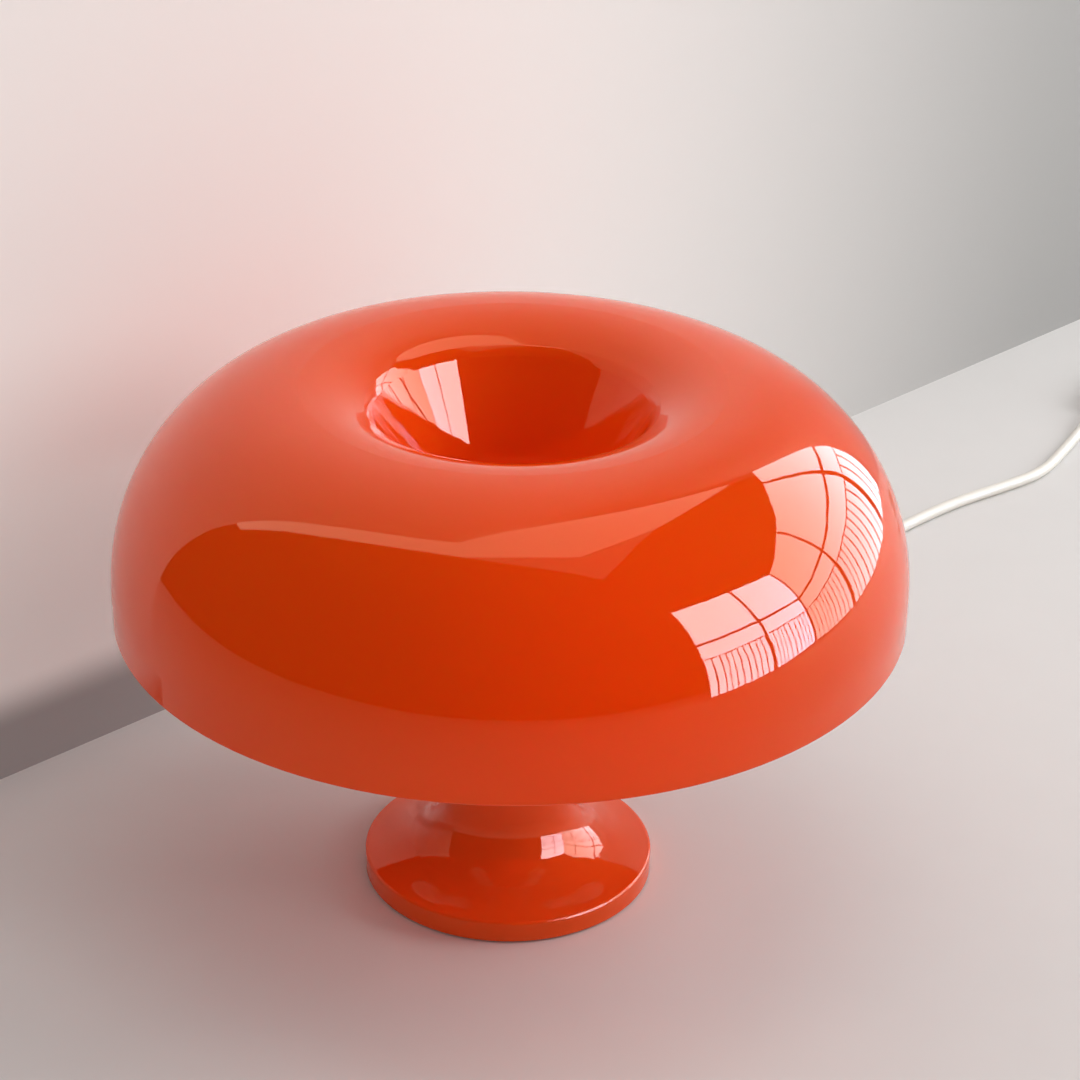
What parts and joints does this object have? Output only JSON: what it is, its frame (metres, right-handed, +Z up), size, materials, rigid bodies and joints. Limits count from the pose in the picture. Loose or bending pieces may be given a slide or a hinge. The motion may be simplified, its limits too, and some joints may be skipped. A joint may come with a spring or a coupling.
{
  "type": "table lamp",
  "caption": "Mushroom table lamp: domed lift-off shade with a funnel in its crown, screw-in globe bulbs under it, flared foot, corded rocker switch and plug.",
  "frame": {"origin": "middle of the foot's underside, on the table", "axes": "+Z up along the lamp's axis, +Y toward the back, where the cord leaves the foot, +X to the right"},
  "size_m": [0.6363, 0.7404, 0.222],
  "materials": {
    "shade_plastic": "glossy, slightly translucent",
    "foot_plastic": "glossy",
    "rubber": "matt",
    "zinc_steel": "zinc plated",
    "iron": "as cast",
    "white_plastic": "satin",
    "brass": "plain",
    "nickel": "nickel plated",
    "opal_glass": "opal",
    "cap_metal": "satin",
    "black_insulator": "glossy",
    "cord_plastic": "smooth, creamy white"
  },
  "bodies": {
    "base": {"base_shell": "foot_plastic", "foot_ring": "rubber", "bottom_cover": "zinc_steel", "cover_screws": "zinc_steel", "ballast_weight": "iron", "threaded_tube": "zinc_steel", "lower_washer": "zinc_steel", "lower_nut": "zinc_steel", "upper_washer": "zinc_steel", "upper_nut": "zinc_steel", "holder_carrier": "zinc_steel", "shade_seat": "white_plastic", "holder_contacts": "brass", "holder_screws": "zinc_steel", "junction_block": "white_plastic", "holder_leads": "cord_plastic", "inner_cable": "cord_plastic", "cord_clamp": "white_plastic", "clamp_screws": "zinc_steel", "strain_relief": "cord_plastic", "cord_lead": "cord_plastic", "switch_lower": "cord_plastic", "switch_upper": "cord_plastic", "switch_screws": "zinc_steel", "cord_link": "cord_plastic", "cord_coil": "cord_plastic", "coil_tie": "white_plastic", "cord_tail": "cord_plastic", "plug_body": "cord_plastic", "plug_pins": "nickel", "lamp_holder_1": "white_plastic", "lamp_holder_2": "white_plastic", "lamp_holder_3": "white_plastic", "lamp_holder_4": "white_plastic", "holder_shell_1": "brass", "holder_shell_2": "brass", "holder_shell_3": "brass", "holder_shell_4": "brass"},
    "shade": {"shade": "shade_plastic"},
    "nut_washer": {"nut_washer": "rubber"},
    "shade_nut": {"shade_nut": "foot_plastic"},
    "switch_rocker": {"switch_rocker": "cord_plastic"},
    "bulb_1_tip": {"bulb_tip_1": "black_insulator"},
    "bulb_1": {"bulb_glass_1": "opal_glass", "bulb_cap_1": "cap_metal"},
    "bulb_2_tip": {"bulb_tip_2": "black_insulator"},
    "bulb_2": {"bulb_glass_2": "opal_glass", "bulb_cap_2": "cap_metal"},
    "bulb_3_tip": {"bulb_tip_3": "black_insulator"},
    "bulb_3": {"bulb_glass_3": "opal_glass", "bulb_cap_3": "cap_metal"},
    "bulb_4_tip": {"bulb_tip_4": "black_insulator"},
    "bulb_4": {"bulb_glass_4": "opal_glass", "bulb_cap_4": "cap_metal"}
  },
  "joints": [
    {"name": "shade_lift", "type": "slide", "parent": "base", "child": "shade", "axis": [0, 0, 1], "range_m": [0, 0.07]},
    {"name": "shade_nut_rise", "type": "slide", "parent": "shade", "child": "nut_washer", "axis": [0, 0, 1], "range_m": [0, 0.008]},
    {"name": "shade_nut_turn", "type": "hinge", "parent": "nut_washer", "child": "shade_nut", "pos_m": [0, 0, 0.148], "axis": [0, 0, 1], "range_deg": [0, 2879]},
    {"name": "rocker_tip", "type": "hinge", "parent": "base", "child": "switch_rocker", "pos_m": [0.3595, 0.50082, 0.012], "axis": [0.848, -0.5299, 0], "range_deg": [0, 16]},
    {"name": "bulb_1_out", "type": "slide", "parent": "base", "child": "bulb_1_tip", "axis": [0.7071, 0.7071, 0], "range_m": [0, 0.026]},
    {"name": "bulb_1_turn", "type": "hinge", "parent": "bulb_1_tip", "child": "bulb_1", "pos_m": [0.04243, 0.04243, 0.1525], "axis": [0.7071, 0.7071, 0], "range_deg": [0, 3319]},
    {"name": "bulb_2_out", "type": "slide", "parent": "base", "child": "bulb_2_tip", "axis": [-0.7071, 0.7071, 0], "range_m": [0, 0.026]},
    {"name": "bulb_2_turn", "type": "hinge", "parent": "bulb_2_tip", "child": "bulb_2", "pos_m": [-0.04243, 0.04243, 0.1525], "axis": [-0.7071, 0.7071, 0], "range_deg": [0, 3319]},
    {"name": "bulb_3_out", "type": "slide", "parent": "base", "child": "bulb_3_tip", "axis": [-0.7071, -0.7071, 0], "range_m": [0, 0.026]},
    {"name": "bulb_3_turn", "type": "hinge", "parent": "bulb_3_tip", "child": "bulb_3", "pos_m": [-0.04243, -0.04243, 0.1525], "axis": [-0.7071, -0.7071, 0], "range_deg": [0, 3319]},
    {"name": "bulb_4_out", "type": "slide", "parent": "base", "child": "bulb_4_tip", "axis": [0.7071, -0.7071, 0], "range_m": [0, 0.026]},
    {"name": "bulb_4_turn", "type": "hinge", "parent": "bulb_4_tip", "child": "bulb_4", "pos_m": [0.04243, -0.04243, 0.1525], "axis": [0.7071, -0.7071, 0], "range_deg": [0, 3319]}
  ],
  "couplings": [
    {"joint": "shade_nut_rise", "follows": "shade_nut_turn", "m_per_rad": 0.00015915},
    {"joint": "bulb_1_out", "follows": "bulb_1_turn", "m_per_rad": 0.00044882},
    {"joint": "bulb_2_out", "follows": "bulb_2_turn", "m_per_rad": 0.00044882},
    {"joint": "bulb_3_out", "follows": "bulb_3_turn", "m_per_rad": 0.00044882},
    {"joint": "bulb_4_out", "follows": "bulb_4_turn", "m_per_rad": 0.00044882}
  ]
}
